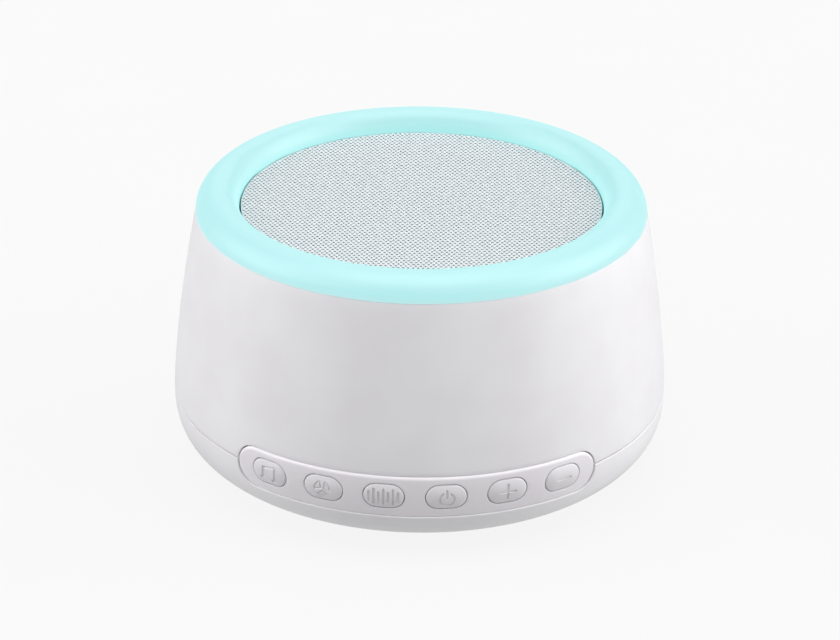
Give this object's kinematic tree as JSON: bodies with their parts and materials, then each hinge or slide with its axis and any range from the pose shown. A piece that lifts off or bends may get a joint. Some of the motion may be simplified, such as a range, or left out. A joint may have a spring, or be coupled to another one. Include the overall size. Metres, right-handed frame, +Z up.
{
  "type": "white noise sound machine",
  "caption": "Round tabletop sound machine: rounded white casing, glowing ring round a recessed speaker grille, and a curved strip of sprung push-buttons on the front.",
  "frame": {"origin": "centre of the circle of feet, on the surface that the object stands on", "axes": "+Z up, the button panel faces -Y, +X is to the right of someone facing the panel"},
  "size_m": [0.118, 0.1183, 0.0677],
  "materials": {
    "shell_white": "satin moulded white",
    "panel_white": "satin moulded white, a shade greyer",
    "ring_glow": "milky translucent, lit cyan",
    "mesh_grey": "pale grey paint on perforated steel",
    "cloth_dark": "thin dark acoustic cloth",
    "frame_dark": "matt black plastic",
    "rubber": "grey non-slip rubber",
    "steel": "plated steel",
    "ferrite": "dark ferrite",
    "copper": "varnished copper wire",
    "cone": "pressed paper cone",
    "rubber_black": "soft black rubber",
    "spider_cloth": "resin-dipped cloth",
    "board_green": "solder mask on fibreglass",
    "board_white": "white solder mask",
    "led": "moulded LED packages",
    "chip_black": "moulded chip",
    "can_blue": "sleeved can",
    "plug_cream": "cream nylon",
    "cable_red": "flat two-wire cable",
    "cable_white": "flat cable"
  },
  "bodies": {
    "casing": {"upper_shell": "shell_white", "lower_shell": "shell_white", "control_panel": "panel_white", "light_ring": "ring_glow", "grille_mesh": "mesh_grey", "dust_cloth": "cloth_dark", "grille_frame": "frame_dark", "feet": "rubber", "base_screws": "steel", "switch_bodies": "steel", "switch_board": "board_green", "switch_bracket": "frame_dark", "bracket_screws": "steel", "speaker_basket": "frame_dark", "speaker_yoke": "steel", "speaker_magnet": "ferrite", "speaker_top_plate": "steel", "speaker_surround": "rubber_black", "speaker_spider": "spider_cloth", "speaker_gasket": "rubber_black", "speaker_terminals": "copper", "speaker_screws": "steel", "led_board": "board_white", "leds": "led", "led_screws": "steel", "main_board": "board_green", "control_chip": "chip_black", "amplifier_chip": "chip_black", "memory_chip": "chip_black", "capacitors": "can_blue", "board_connectors": "plug_cream", "board_screws": "steel", "power_socket": "steel", "socket_tongue": "frame_dark", "speaker_cable": "cable_red", "led_cable": "cable_white", "switch_ribbon": "cable_white"},
    "cone": {"speaker_cone": "cone", "dust_cap": "cone", "voice_coil": "copper"},
    "music_key": {"music_button": "panel_white", "music_plunger": "frame_dark"},
    "fan_key": {"fan_button": "panel_white", "fan_plunger": "frame_dark"},
    "noise_key": {"noise_button": "panel_white", "noise_plunger": "frame_dark"},
    "power_key": {"power_button": "panel_white", "power_plunger": "frame_dark"},
    "volume_up_key": {"volume_up_button": "panel_white", "volume_up_plunger": "frame_dark"},
    "volume_down_key": {"volume_down_button": "panel_white", "volume_down_plunger": "frame_dark"}
  },
  "joints": [
    {"name": "music_press", "type": "slide", "parent": "casing", "child": "music_key", "axis": [0.5664, 0.8241, 0], "range_m": [0, 0.0005], "stiffness_N_per_m": 2000, "springref_m": -0.0003},
    {"name": "fan_press", "type": "slide", "parent": "casing", "child": "fan_key", "axis": [0.3535, 0.9354, 0], "range_m": [0, 0.0005], "stiffness_N_per_m": 2000, "springref_m": -0.0003},
    {"name": "noise_press", "type": "slide", "parent": "casing", "child": "noise_key", "axis": [0.1201, 0.9928, 0], "range_m": [0, 0.0005], "stiffness_N_per_m": 2000, "springref_m": -0.0003},
    {"name": "power_press", "type": "slide", "parent": "casing", "child": "power_key", "axis": [-0.1201, 0.9928, 0], "range_m": [0, 0.0005], "stiffness_N_per_m": 2000, "springref_m": -0.0003},
    {"name": "volume_up_press", "type": "slide", "parent": "casing", "child": "volume_up_key", "axis": [-0.3535, 0.9354, 0], "range_m": [0, 0.0005], "stiffness_N_per_m": 2000, "springref_m": -0.0003},
    {"name": "volume_down_press", "type": "slide", "parent": "casing", "child": "volume_down_key", "axis": [-0.5664, 0.8241, 0], "range_m": [0, 0.0005], "stiffness_N_per_m": 2000, "springref_m": -0.0003},
    {"name": "cone_stroke", "type": "slide", "parent": "casing", "child": "cone", "axis": [0, 0, 1], "range_m": [-0.0012, 0.0012], "stiffness_N_per_m": 1500, "deforming": ["speaker_surround", "speaker_spider"]}
  ]
}
